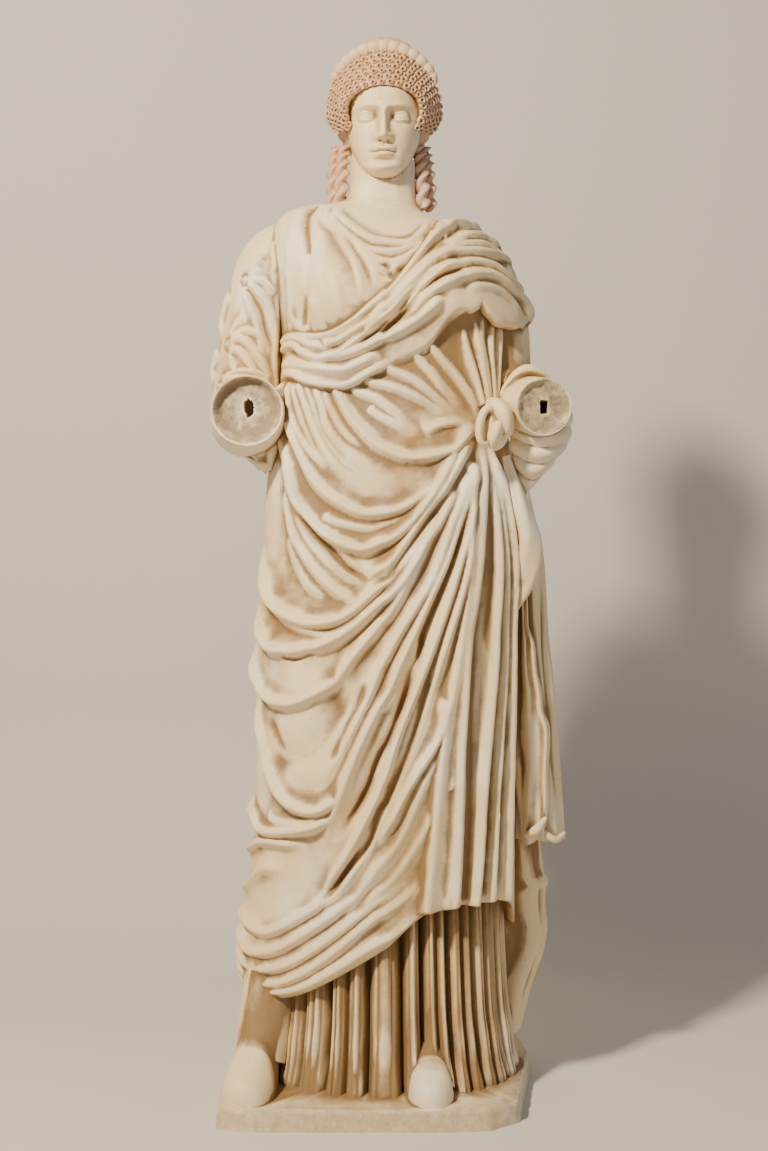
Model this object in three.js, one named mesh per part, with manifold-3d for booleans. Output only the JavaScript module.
/*
 * A draped woman in marble, of the classical type, on a low slab cut from the same block.
 * She wears a pleated gown, and over it a mantle whose rolled upper edge crosses the chest to her
 * left shoulder. Both forearms are lost, and each sleeve ends in a stump with a dowel socket.
 * Millimetres, +Z up. She faces -Y and her left side is +X. The origin is on the slab's underside.
 */
import * as THREE from "three";
import { ParametricGeometry } from "three/addons/geometries/ParametricGeometry.js";
import { mergeVertices } from "three/addons/utils/BufferGeometryUtils.js";
import Module from "manifold-3d";

const wasm = await Module();
wasm.setup();

// Driving dimensions.
const SLAB_THICKNESS = 40;
const CHIN = 1720; // height of the chin
const HEAD = 236; // chin to crown, without the hair
const KNOT = { x: 200, y: -150, z: 1256 }; // where the mantle is gathered at her left hip
const SOCKET_DEPTH = 60;

// ---- small sums ----

const radians = (degrees) => (degrees * Math.PI) / 180;
const mix = (a, b, share) => a + (b - a) * share;
const clamp = (value, low = 0, high = 1) => Math.min(high, Math.max(low, value));
const ease = (low, high, value) => THREE.MathUtils.smoothstep(value, low, high);
const bell = (distance, width) => Math.exp(-((distance / width) ** 2));

// A sine or cosine drawn out so that a round section becomes slightly square.
const SQUARENESS = 0.85;
const squared = (value) => Math.sign(value) * Math.abs(value) ** SQUARENESS;

// Reads a track of [place, value] rows at a place, on a smooth curve through the rows.
function along(track, place) {
  const last = track.length - 1;
  if (place <= track[0][0]) return track[0][1];
  if (place >= track[last][0]) return track[last][1];
  let row = 0;
  while (place > track[row + 1][0]) row++;
  const [x0, y0] = track[row];
  const [x1, y1] = track[row + 1];
  const before = track[Math.max(0, row - 1)];
  const after = track[Math.min(last, row + 2)];
  const slope0 = (y1 - before[1]) / (x1 - before[0]);
  const slope1 = (after[1] - y0) / (after[0] - x0);
  const step = x1 - x0;
  const t = (place - x0) / step;
  return (
    y0 * (1 + 2 * t) * (1 - t) ** 2 +
    slope0 * step * t * (1 - t) ** 2 +
    y1 * t * t * (3 - 2 * t) +
    slope1 * step * t * t * (t - 1)
  );
}

// ---- solids ----

// Makes a closed surface a solid: shared corners are merged, collapsed triangles dropped, faces turned out.
function solidOf(geometry) {
  const plain = geometry.clone();
  plain.deleteAttribute("normal");
  plain.deleteAttribute("uv");
  const merged = mergeVertices(plain, 1e-3);
  const corners = merged.index.array;
  const build = (order) => {
    const kept = [];
    for (let i = 0; i < corners.length; i += 3) {
      const face = order.map((k) => corners[i + k]);
      if (new Set(face).size === 3) kept.push(...face);
    }
    const vertProperties = merged.attributes.position.array;
    return new wasm.Manifold(new wasm.Mesh({ numProp: 3, vertProperties, triVerts: new Uint32Array(kept) }));
  };
  const made = build([0, 1, 2]);
  return made.volume() > 0 ? made : build([0, 2, 1]);
}

// A solid skinned over rings. point(i, j) gives column i of ring j, and each end closes on its ring's middle.
function skinned(columns, rings, point) {
  const middle = (ring) => {
    const sum = new THREE.Vector3();
    for (let i = 0; i < columns; i++) sum.add(point(i, ring));
    return sum.divideScalar(columns);
  };
  const ends = [middle(0), middle(rings - 1)];
  const surface = (u, v, target) => {
    const column = Math.round(u * columns) % columns;
    const ring = Math.round(v * (rings + 1)) - 1;
    if (ring < 0) target.copy(ends[0]);
    else if (ring >= rings) target.copy(ends[1]);
    else target.copy(point(column, ring));
  };
  return solidOf(new ParametricGeometry(surface, columns, rings + 1));
}

// A ring-shaped solid: point(i, j) goes round the section with i and round the loop with j.
function looped(columns, rings, point) {
  const surface = (u, v, target) =>
    target.copy(point(Math.round(u * columns) % columns, Math.round(v * rings) % rings));
  return solidOf(new ParametricGeometry(surface, columns, rings));
}

// A limb or lock: a round section carried along a curve through the given points.
function limb(points, radii, columns, rings, shape = () => 1) {
  const curve = new THREE.CatmullRomCurve3(points.map((p) => new THREE.Vector3(...p)));
  const frames = curve.computeFrenetFrames(rings - 1, false);
  return skinned(columns, rings, (i, j) => {
    const share = j / (rings - 1);
    const angle = (i / columns) * 2 * Math.PI;
    const radius = along(radii, share) * shape(angle, share);
    return curve
      .getPoint(share)
      .addScaledVector(frames.normals[j], radius * Math.cos(angle))
      .addScaledVector(frames.binormals[j], radius * Math.sin(angle));
  });
}

// ---- the clothed body ----

// A standing form read by turn, in degrees from the front towards her left, and by height up its skin.
// right, left, front and back are its reach in each direction, and climb turns skin height into true height.
class Body {
  constructor({ right, left, front, back, climb, tilt = 0, swells = [] }) {
    Object.assign(this, { right, left, front, back, climb, tilt, swells });
  }
  plain(turn, height) {
    const side = Math.sin(radians(turn));
    const fore = Math.cos(radians(turn));
    const x = along(side < 0 ? this.right : this.left, height) * squared(side);
    const y = -along(fore > 0 ? this.front : this.back, height) * squared(fore);
    const z = this.climb ? along(this.climb, height) : height;
    return new THREE.Vector3(x, y, z - this.tilt * x * ease(1430, 1620, height));
  }
  outward(turn, height) {
    const step = 2;
    const across = this.plain(turn + step, height).sub(this.plain(turn - step, height));
    const up = this.plain(turn, height + step).sub(this.plain(turn, height - step));
    return across.cross(up).normalize();
  }
  // The point on the skin, raised by the body's own swells and by anything laid on it.
  at(turn, height, rise = 0) {
    let raised = rise;
    for (const [t, h, wide, tall, amount] of this.swells) {
      const away = THREE.MathUtils.euclideanModulo(turn - t + 180, 360) - 180;
      raised += amount * bell(away, wide) * bell(height - h, tall);
    }
    return this.plain(turn, height).addScaledVector(this.outward(turn, height), raised);
  }
}

const chest = new Body({
  climb: [[1100, 1100], [1500, 1500], [1560, 1560], [1610, 1606], [1650, 1634], [1690, 1651], [1730, 1662],
    [1770, 1682], [1830, 1765]],
  right: [[1100, 224], [1200, 214], [1300, 200], [1400, 192], [1500, 205], [1560, 214], [1610, 206], [1650, 186],
    [1690, 150], [1730, 104], [1770, 68], [1830, 60]],
  left: [[1100, 236], [1200, 236], [1300, 232], [1400, 226], [1500, 222], [1560, 214], [1610, 200], [1650, 180],
    [1690, 146], [1730, 102], [1770, 66], [1830, 58]],
  front: [[1100, 160], [1200, 152], [1300, 146], [1400, 146], [1500, 142], [1560, 132], [1610, 116], [1650, 98],
    [1690, 82], [1730, 70], [1770, 62], [1830, 58]],
  back: [[1100, 142], [1300, 140], [1400, 146], [1500, 150], [1560, 148], [1610, 136], [1650, 118], [1690, 98],
    [1730, 80], [1770, 66], [1830, 58]],
  tilt: 0.12,
  // each swell is its turn and height, its spread in both, and its rise: the breasts and shoulder blades
  swells: [[-26, 1495, 20, 62, 26], [28, 1490, 20, 62, 24], [-150, 1500, 26, 90, 14], [150, 1500, 26, 90, 14]],
});

const mantle = new Body({
  right: [[200, 258], [360, 250], [500, 238], [857, 236], [1009, 230], [1161, 220], [1300, 202], [1400, 192],
    [1500, 190]],
  left: [[200, 250], [376, 250], [860, 250], [1009, 256], [1161, 244], [1256, 234], [1400, 224], [1500, 200]],
  front: [[200, 196], [376, 198], [650, 200], [850, 190], [1000, 176], [1161, 158], [1256, 150], [1400, 142],
    [1500, 130]],
  back: [[200, 190], [376, 180], [650, 168], [850, 176], [1000, 164], [1161, 140], [1300, 138], [1400, 142],
    [1500, 140]],
  // the bent right knee and thigh, the belly, the hips behind
  swells: [[-34, 640, 26, 170, 26], [-28, 860, 30, 150, 12], [-8, 1175, 34, 90, 14], [155, 900, 34, 110, 16],
    [-155, 900, 34, 110, 16]],
});

// Her left shoulder and upper arm as one form under the mantle's rolled edge.
const shawl = new Body({
  ...chest,
  left: [[1300, 252], [1400, 264], [1450, 262], [1500, 244], [1560, 226], [1610, 206], [1650, 184], [1690, 148],
    [1730, 104], [1770, 68]],
  swells: [[-26, 1495, 20, 62, 12]],
});

// ---- folds ----

// A fold is a ridge along a curve on a body, given by [turn, height] points. above and below are its
// breadth on the two sides, so a hanging fold can be steep underneath. A groove has a negative rise.
function fold(body, points, rise, above, below, steps = 14) {
  const curve = new THREE.SplineCurve(points.map(([turn, height]) => new THREE.Vector2(turn, height)));
  const flat = curve.getPoints(steps);
  return { body, flat, solid: flat.map((p) => body.plain(p.x, p.y)), rise, above, below };
}

// How far one fold lifts the cloth at a point of the body.
function liftOf({ flat, solid, rise, above, below }, place, turn, height) {
  let nearest = Infinity;
  let share = 0;
  let under = false;
  const edge = new THREE.Vector3();
  const reach = new THREE.Vector3();
  for (let k = 0; k < solid.length - 1; k++) {
    edge.subVectors(solid[k + 1], solid[k]);
    reach.subVectors(place, solid[k]);
    const t = clamp(reach.dot(edge) / edge.lengthSq());
    const distance = reach.addScaledVector(edge, -t).length();
    if (distance >= nearest) continue;
    nearest = distance;
    share = (k + t) / (solid.length - 1);
    const dTurn = flat[k + 1].x - flat[k].x;
    const away = THREE.MathUtils.euclideanModulo(turn - flat[k].x + 180, 360) - 180;
    under = dTurn * (height - flat[k].y) - (flat[k + 1].y - flat[k].y) * away < 0;
  }
  const taper = ease(0, 0.12, share) * ease(0, 0.12, 1 - share) * 0.75 + 0.25;
  return rise * taper * bell(nearest, under ? below : above);
}

// The cloth's height over the body: the highest ridge less the deepest groove.
function relief(folds, turn, height) {
  const place = folds[0].body.plain(turn, height);
  let ridge = 0;
  let groove = 0;
  for (const each of folds) {
    const lift = liftOf(each, place, turn, height);
    ridge = Math.max(ridge, lift);
    groove = Math.min(groove, lift);
  }
  return ridge + groove;
}

// Folds spread evenly between guide curves, with between of them after each guide but the last.
function spread(body, guides, between, rise, above, below) {
  const made = [];
  for (let g = 0; g < guides.length; g++) {
    const next = guides[Math.min(g + 1, guides.length - 1)];
    const count = g === guides.length - 1 ? 0 : between[g];
    for (let k = 0; k <= count; k++) {
      const share = k / (count + 1);
      const points = guides[g].map(([turn, height], i) => [
        mix(turn, next[i][0], share),
        mix(height, next[i][1], share),
      ]);
      made.push(fold(body, points, rise, above, below));
    }
  }
  return made;
}

// Swags hang from the knot and round her right thigh and shin.
const SWAGS = [
  [[-19, 1310], [-13, 1262], [3, 1205], [24, 1205], [42, 1245]],
  [[-56, 1275], [-36, 1185], [-6, 1092], [20, 1148], [41, 1240]],
  [[-50, 1090], [-33, 990], [-7, 935], [16, 1040], [38, 1180]],
  [[-66, 975], [-50, 915], [-24, 893], [4, 970], [36, 1145]],
  [[-76, 765], [-56, 750], [-30, 760], [3, 880], [39, 1120]],
  [[-72, 680], [-55, 590], [-31, 556], [-1, 730], [30, 1050]],
  [[-82, 510], [-60, 485], [-36, 500], [-9, 650], [25, 960]],
  [[-90, 330], [-66, 262], [-36, 295], [-5, 460], [20, 760]],
];
const SWAGS_BETWEEN = [0, 1, 0, 0, 0, 0, 0, 0];

// Long folds run from the knot to the slanting hem, and the last ones fall straight.
const FALLS = [
  [[40, 1200], [23, 960], [6, 795], [-10, 650], [-25, 490]],
  [[43, 1180], [24, 940], [8, 780], [-8, 590], [-34, 370]],
  [[46, 1170], [30, 800], [16, 660], [-2, 500], [-35, 300]],
  [[46, 1170], [34, 930], [28, 735], [24, 560], [22, 376]],
  [[50, 1190], [58, 890], [48, 715], [42, 600], [36, 376]],
  [[52, 1200], [64, 1000], [62, 770], [55, 570], [52, 376]],
];

// Behind, the mantle hangs in broad folds from her left shoulder to her right hip.
const BACK = [
  [[105, 1400], [140, 1330], [180, 1260], [225, 1230], [262, 1270]],
  [[105, 1250], [140, 1080], [180, 980], [225, 990], [266, 1060]],
  [[108, 1000], [140, 760], [180, 640], [225, 640], [268, 720]],
  [[112, 800], [142, 520], [180, 400], [225, 370], [268, 420]],
];

// The sleeve side is gathered into the knot from above.
const GATHERS = [
  [[27, 1400], [33, 1350], [42, 1290]],
  [[42, 1430], [43, 1350], [46, 1285]],
  [[60, 1430], [54, 1350], [50, 1285]],
];

const mantleFolds = [
  ...spread(mantle, SWAGS, SWAGS_BETWEEN, 30, 34, 20),
  ...spread(mantle, FALLS, [0, 0, 0, 0, 0], 30, 20, 18),
  ...spread(mantle, BACK, [1, 0, 0], 22, 40, 28),
  ...spread(mantle, GATHERS, [0, 0], 18, 14, 14),
];

// The slanting lower edge of the mantle, by turn.
const HEM = [[-180, 170], [-120, 190], [-86, 208], [-60, 200], [-40, 204], [-23, 230], [-3, 288], [8, 345], [18, 374],
  [66, 372], [84, 330], [110, 240], [150, 180], [180, 170]];
const MANTLE_TOP = 1460;
const HEM_TUCK = 34; // how far the hem's underside goes in under the cloth

// Turns for a form's columns: close together in front and further apart behind.
function columnsRound(front, back, edge) {
  const turns = [];
  for (let i = 0; i < front; i++) turns.push(mix(-edge, edge, i / front));
  for (let i = 0; i < back; i++) turns.push(mix(edge, 360 - edge, i / back));
  return turns;
}

// The cloth's rings lean up towards the knot in front, as its folds do.
const LEAN = [[-98, 0], [-60, -40], [-30, -60], [0, 20], [25, 120], [45, 160], [70, 90], [98, 0], [262, 0]];

function mantleSolid() {
  const turns = columnsRound(30, 6, 98);
  const rings = 41;
  return skinned(turns.length, rings, (i, j) => {
    const turn = turns[i];
    const wrapped = turn > 180 ? turn - 360 : turn;
    const hem = along(HEM, wrapped);
    if (j === 0) return mantle.at(turn, hem, -HEM_TUCK);
    const share = (j - 1) / (rings - 2);
    const height = mix(hem, MANTLE_TOP, share) + along(LEAN, turn) * Math.sin(Math.PI * share);
    return mantle.at(turn, height, relief(mantleFolds, turn, height));
  });
}

// ---- the gown ----

const GOWN_TOP = 430;
const gown = new Body({
  right: [[30, 216], [200, 206], [430, 200]],
  left: [[30, 246], [200, 232], [430, 222]],
  front: [[30, 222], [120, 204], [250, 186], [430, 166]],
  back: [[30, 176], [200, 160], [430, 150]],
});

// Deep channels part the gown's bundles of pleats, at these turns.
const CHANNELS = [-84, -58, -32, -13, 3, 24, 43, 66, 92, 124, 156, 188, 220, 248];
const CHANNEL_DEPTH = 40;
const PLEAT_GROOVE = 9;

function gownSolid() {
  const turns = [];
  const cuts = [];
  CHANNELS.forEach((start, k) => {
    const end = k + 1 < CHANNELS.length ? CHANNELS[k + 1] : CHANNELS[0] + 360;
    [0, 0.16, 0.5, 0.84].forEach((share, part) => {
      turns.push(mix(start, end, share));
      cuts.push(part === 0 ? CHANNEL_DEPTH : part === 2 ? PLEAT_GROOVE : 0);
    });
  });
  const rings = 4;
  return skinned(turns.length, rings, (i, j) => {
    const height = mix(SLAB_THICKNESS - 6, GOWN_TOP, j / (rings - 1));
    return gown.at(turns[i], height, -cuts[i]);
  });
}

// ---- the chest, its neckline, and the mantle's roll ----

const gownFolds = [
  fold(chest, [[-48, 1665], [-44, 1580], [-46, 1450]], -9, 12, 12),
  fold(chest, [[-36, 1690], [-22, 1610], [-6, 1530]], -8, 12, 12),
  fold(chest, [[-52, 1700], [-22, 1640], [0, 1610], [24, 1640], [48, 1700]], 8, 14, 9),
  fold(chest, [[-44, 1680], [-18, 1612], [4, 1578], [24, 1612], [44, 1680]], 8, 14, 9),
];

function chestSolid() {
  const turns = columnsRound(19, 7, 100);
  const rings = 13;
  return skinned(turns.length, rings, (i, j) => {
    const height = mix(1300, 1830, j / (rings - 1));
    return chest.at(turns[i], height, relief(gownFolds, turns[i], height));
  });
}

// Upper and lower edge of the roll on the chest's skin, by turn: from under the right arm, across the
// chest, over the left shoulder and down the back.
const ROLL_UPPER = [[-180, 1600], [-135, 1500], [-90, 1436], [-50, 1432], [-18, 1440], [-3, 1490], [6, 1534], [15, 1580],
  [25, 1628], [36, 1672], [50, 1712], [90, 1720], [135, 1680], [180, 1600]];
const ROLL_LOWER = [[-180, 1390], [-135, 1350], [-90, 1320], [-57, 1320], [-22, 1314], [-2, 1346], [6, 1364], [27, 1430],
  [38, 1460], [48, 1464], [66, 1450], [90, 1440], [135, 1420], [180, 1390]];
const ROLL_RIDGES = 5;
const ROLL_THICKNESS = 12;
const ROLL_RISE = 17;

// On her left shoulder the ridges crowd upwards and leave a plain flap below them.
function rollShare(ridge, turn) {
  const plainFlap = 0.36 * ease(5, 40, turn) * (1 - ease(60, 95, turn));
  return (ridge / ROLL_RIDGES) * (1 - plainFlap);
}

function rollSolid() {
  const turns = columnsRound(20, 7, 105);
  const outer = ROLL_RIDGES * 2 + 2;
  return looped(outer + 1, turns.length, (i, j) => {
    const turn = turns[j];
    const wrapped = turn > 180 ? turn - 360 : turn;
    const share = i < outer - 1 ? rollShare(i / 2, wrapped) : 1;
    const height = mix(along(ROLL_UPPER, wrapped), along(ROLL_LOWER, wrapped), i < outer ? share : 0.5);
    const rise = i === outer ? -36 : ROLL_THICKNESS + (i % 2 && i < outer - 1 ? ROLL_RISE : 0);
    return shawl.at(turn, height, rise);
  });
}

// ---- arms ----

const RIGHT_STUMP = { x: -251, y: -132, z: 1283 };
const LEFT_STUMP = { x: 290, y: -170, z: 1288 };

function socket({ x, y, z }, width, height) {
  const box = new THREE.BoxGeometry(width, SOCKET_DEPTH * 2, height);
  return solidOf(box.translate(x, y, z));
}

function rightArm() {
  const arm = limb(
    [[-164, 8, 1622], [-208, 6, 1572], [-232, 5, 1500], [-245, 2, 1420], [-254, 2, 1340], [-254, -20, 1278],
      [-252, -75, 1272], [RIGHT_STUMP.x, RIGHT_STUMP.y, RIGHT_STUMP.z]],
    [[0, 34], [0.15, 60], [0.35, 63], [0.55, 69], [0.75, 76], [0.9, 72], [1, 68]],
    11, 10,
  );
  const sleeve = limb([[-214, -40, 1330], [-222, -38, 1240], [-226, -34, 1178]], [[0, 34], [0.6, 30], [1, 14]], 8, 4);
  return arm.add(sleeve).subtract(socket(RIGHT_STUMP, 26, 40));
}

function leftArm() {
  const arm = limb(
    [[168, 5, 1600], [194, 0, 1530], [212, 0, 1440], [218, -5, 1350], [240, -30, 1300], [270, -90, 1290],
      [LEFT_STUMP.x, LEFT_STUMP.y, LEFT_STUMP.z]],
    [[0, 40], [0.2, 58], [0.5, 62], [0.8, 58], [1, 54]],
    11, 8,
  );
  const drape = limb([[258, -16, 1150], [270, -50, 1190], [282, -90, 1240], [288, -112, 1290]],
    [[0, 16], [0.3, 58], [0.7, 70], [1, 54]], 10, 6);
  return arm.add(drape).subtract(socket(LEFT_STUMP, 16, 32));
}

// ---- the mantle's gathered knot and hanging end ----

function knotSolid() {
  return limb([[KNOT.x - 14, KNOT.y + 30, KNOT.z + 46], [KNOT.x - 6, KNOT.y - 26, KNOT.z + 22],
    [KNOT.x, KNOT.y - 26, KNOT.z - 14], [KNOT.x - 4, KNOT.y + 20, KNOT.z - 44]],
    [[0, 24], [0.3, 36], [0.6, 36], [1, 22]], 8, 6);
}

// The end thrown over the forearm falls down her left side in zigzag folds.
const END_TOP = 1200;
const END_FOOT = 480;
function hangingEnd() {
  const columns = 16;
  const rings = 6;
  return skinned(columns, rings, (i, j) => {
    const z = mix(END_FOOT, END_TOP, j / (rings - 1));
    const outer = along([[480, 346], [600, 338], [743, 327], [860, 313], [1009, 304], [1085, 287], [1200, 262]], z);
    const angle = (i / columns) * 2 * Math.PI;
    const flute = i % 2 ? 0.8 : 1;
    const x = outer - 62 + 62 * squared(Math.sin(angle)) * flute;
    const y = 6 - 74 * squared(Math.cos(angle)) * flute;
    return new THREE.Vector3(x, y, z);
  });
}

// Low behind her left side the mantle's rear edge swings out and down.
function rearFall() {
  const columns = 12;
  const rings = 5;
  return skinned(columns, rings, (i, j) => {
    const z = mix(92, 560, j / (rings - 1));
    const outer = along([[92, 272], [180, 300], [290, 318], [400, 314], [560, 296]], z);
    const reach = along([[92, 30], [200, 62], [560, 80]], z);
    const angle = (i / columns) * 2 * Math.PI;
    const flute = i % 2 ? 0.84 : 1;
    return new THREE.Vector3(outer - reach + reach * squared(Math.sin(angle)) * flute,
      62 - 62 * squared(Math.cos(angle)) * flute, z);
  });
}

// ---- feet and slab ----

// A soft pointed shoe: sections from heel to toe, on the slab.
function shoe({ x, y, heading, length }) {
  const columns = 10;
  const rings = 8;
  const width = [[0, 30], [0.2, 40], [0.55, 47], [0.75, 52], [0.9, 42], [1, 16]];
  const rise = [[0, 60], [0.25, 124], [0.5, 98], [0.75, 62], [0.9, 48], [1, 26]];
  const forward = new THREE.Vector3(Math.sin(radians(heading)), -Math.cos(radians(heading)), 0);
  const sideways = new THREE.Vector3(-forward.y, forward.x, 0);
  return skinned(columns, rings, (i, j) => {
    const share = j / (rings - 1);
    const angle = (i / columns) * 2 * Math.PI;
    const top = along(rise, share);
    const lift = Math.max(-6, top * squared(Math.cos(angle)));
    return new THREE.Vector3(x, y, SLAB_THICKNESS)
      .addScaledVector(forward, share * length)
      .addScaledVector(sideways, along(width, share) * squared(Math.sin(angle)))
      .add(new THREE.Vector3(0, 0, lift));
  });
}

function slabSolid() {
  const corners = [[-300, -286], [-250, -302], [120, -302], [188, -296], [246, -246], [262, -120], [286, 60],
    [270, 190], [180, 232], [-60, 240], [-220, 214], [-276, 60], [-292, -120]];
  const outline = new THREE.Shape(corners.map(([x, y]) => new THREE.Vector2(x, y)));
  return solidOf(new THREE.ExtrudeGeometry(outline, { depth: SLAB_THICKNESS, bevelEnabled: false }));
}

// The right shin and ankle show between the hem and the shoe.
function rightAnkle() {
  return limb([[-192, -60, 330], [-206, -86, 230], [-220, -110, 150], [-230, -136, 80]],
    [[0, 60], [0.5, 54], [1, 48]], 9, 4);
}

// ---- head and hair ----

// The face is drawn in heights above the chin, and its forward reach is a sum of soft swellings.
const EYE_HEIGHT = 106;
const EYE_SPACING = 31;
function features(x, z) {
  const side = Math.abs(x);
  const fromEye = bell(side - EYE_SPACING, 17) * bell(z - EYE_HEIGHT, 11);
  const lidRoll = 7 * bell(side - EYE_SPACING, 12) * bell(z - EYE_HEIGHT, 7);
  const brow = 4 * bell(z - 121, 6) * bell(side - 26, 22);
  const bridge = along([[56, 0], [62, 17], [68, 23], [90, 14], [114, 5], [124, 0]], z) * bell(x, z < 75 ? 10 : 8);
  const lips = 6 * bell(x, 20) * (bell(z - 46, 4.5) + bell(z - 36, 4.5));
  const chinTip = 5 * bell(x, 16) * bell(z - 13, 11);
  const cheek = 3 * bell(side - 38, 18) * bell(z - 80, 20);
  return lidRoll + brow + bridge + lips + chinTip + cheek - 11 * fromEye;
}

const head = {
  width: [[-4, 14], [2, 26], [12, 38], [25, 49], [45, 60], [70, 67], [95, 71], [120, 73], [150, 73], [180, 70],
    [205, 57], [225, 34], [236, 6]],
  front: [[-4, 60], [2, 70], [12, 78], [25, 76], [45, 80], [70, 80], [95, 78], [120, 84], [150, 84], [180, 76],
    [205, 58], [225, 30], [236, 4]],
  rear: [[-4, -28], [2, -10], [12, 8], [25, 24], [45, 40], [70, 60], [95, 84], [120, 98], [150, 102], [180, 96],
    [205, 78], [225, 48], [236, 6]],
};

function headSolid() {
  const turns = columnsRound(18, 4, 92);
  const heights = [-4, 4, 14, 25, 35, 41, 48, 58, 66, 80, 95, 106, 116, 126, 146, 176, 210, 236];
  return skinned(turns.length, heights.length, (i, j) => {
    const z = heights[j];
    const front = along(head.front, z);
    const rear = along(head.rear, z);
    const fore = Math.cos(radians(turns[i]));
    const x = along(head.width, z) * squared(Math.sin(radians(turns[i])));
    const y = (rear - front) / 2 - ((front + rear) / 2) * squared(fore);
    const forward = fore > 0 ? features(x, z) * ease(0, 0.5, fore) : 0;
    return new THREE.Vector3(x, y - forward, CHIN + z);
  });
}

// The hair behind the curls: a full mass, combed back from a scalloped roll over the forehead.
function hairMass() {
  const columns = 18;
  const rings = 7;
  return skinned(columns, rings, (i, j) => {
    const tip = radians(mix(8, 172, j / (rings - 1))); // from the front of the crown backwards
    const angle = (i / columns) * 2 * Math.PI;
    const scallop = j < 4 ? 5 * (i % 2) : 0;
    const across = (100 + scallop) * Math.sin(tip) * Math.sin(angle);
    const upward = (124 + scallop) * Math.sin(tip) * Math.cos(angle);
    return new THREE.Vector3(across, 34 - 84 * Math.cos(tip), CHIN + 150 + upward);
  });
}

// Snail curls stand in rows round the face, on a band arched from ear to ear.
const CURL_ROWS = 3;
const CURLS_PER_ROW = 15;
const CURL_RISE = 11;
function curlBand() {
  const outer = CURL_ROWS * 2 + 1;
  const rings = CURLS_PER_ROW * 2 + 1;
  return skinned(outer + 1, rings, (i, j) => {
    const arch = radians(mix(-124, 124, j / (rings - 1)));
    const end = Math.sin((Math.PI * j) / (rings - 1)) ** 0.3;
    const crest = i % 2 && j % 2 ? CURL_RISE : 0;
    const lap = i === outer ? 0.5 : i / (outer - 1); // from the brow's side to the crown's side
    const depth = i === outer ? -26 : 4 + crest;
    const across = mix(66, 101, lap) + depth * 0.8;
    const upward = mix(34, 114, lap) + depth * 0.7;
    const low = Math.cos(arch) < 0 ? 62 / upward : 1;
    return new THREE.Vector3(
      across * Math.sin(arch) * mix(0.94, 1, end),
      mix(-80, -28, lap) - depth * mix(0.9, 0.4, lap) + 24 * (1 - Math.cos(arch)),
      CHIN + 126 + upward * low * Math.cos(arch),
    );
  });
}

// Twisted locks fall behind the ears to the shoulders, two on each side.
function locks() {
  const twist = (angle, share) => 1 + 0.18 * Math.cos(2 * angle + share * 22);
  return [-1, 1].flatMap((side) => [0, 1].map((second) => {
    const x = (share) => side * (78 + 14 * share + 12 * second * share);
    const y = -6 + 20 * second;
    return limb([[x(0), y + 24, CHIN + 66], [x(0.4), y + 6, CHIN + 20], [x(1), y - 8, CHIN - 54]],
      [[0, 10], [0.5, 15], [0.9, 15], [1, 9]], 5, 8, twist);
  }));
}

// ---- the whole stone ----

function carved() {
  const parts = [
    slabSolid(), gownSolid(), mantleSolid(), chestSolid(), rollSolid(), rightArm(), leftArm(), knotSolid(),
    hangingEnd(), rearFall(), rightAnkle(),
    shoe({ x: -226, y: -66, heading: -7, length: 230 }),
    shoe({ x: 78, y: -80, heading: 1, length: 214 }),
    headSolid(), hairMass(), curlBand(), ...locks(),
  ];
  const stone = parts.reduce((whole, part) => whole.add(part));
  // Hollows shut in between overlapping forms are solid stone, so only the outer skin is kept.
  const skins = stone.decompose();
  return skins.reduce((most, skin) => (skin.volume() > most.volume() ? skin : most));
}

function meshOf(solid, name, material) {
  const { vertProperties, triVerts } = solid.getMesh();
  const geometry = new THREE.BufferGeometry();
  geometry.setAttribute("position", new THREE.BufferAttribute(vertProperties, 3));
  geometry.setIndex(new THREE.BufferAttribute(triVerts, 1));
  geometry.computeVertexNormals();
  const mesh = new THREE.Mesh(geometry, material);
  mesh.name = name;
  return mesh;
}

const marble = new THREE.MeshStandardMaterial({ color: 0xe6d6bb, roughness: 0.55, metalness: 0 });
const statue = new THREE.Group();
statue.add(meshOf(carved(), "draped_woman", marble));

export default statue;
